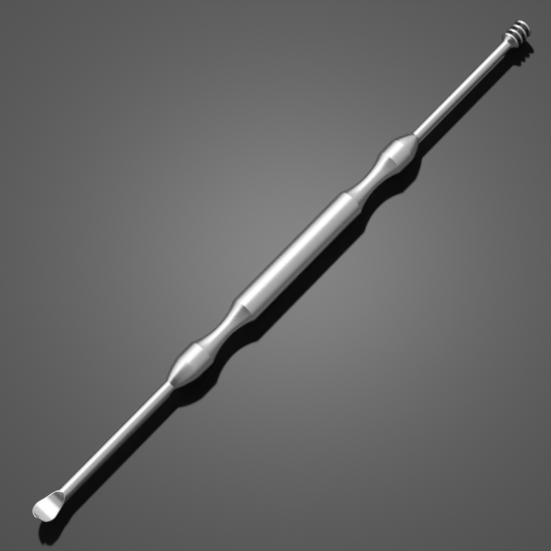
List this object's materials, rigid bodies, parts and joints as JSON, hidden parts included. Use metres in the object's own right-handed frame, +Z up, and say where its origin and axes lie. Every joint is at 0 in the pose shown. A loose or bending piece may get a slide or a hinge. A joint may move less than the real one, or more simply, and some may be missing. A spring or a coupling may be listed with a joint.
{
  "type": "ear pick",
  "caption": "Slim turned steel ear pick with a curled scoop at one end and a ringed head at the other.",
  "frame": {"origin": "middle of the overall length, on the surface that the tool lies on", "axes": "+X along the turning axis from the scoop to the ringed head, +Z up out of the scoop's hollow"},
  "size_m": [0.0965, 0.004, 0.004],
  "materials": {
    "brushed_steel": "fine turned satin, brighter in the scoop and on the rings"
  },
  "bodies": {
    "root": {"ear_pick": "brushed_steel"}
  },
  "joints": []
}
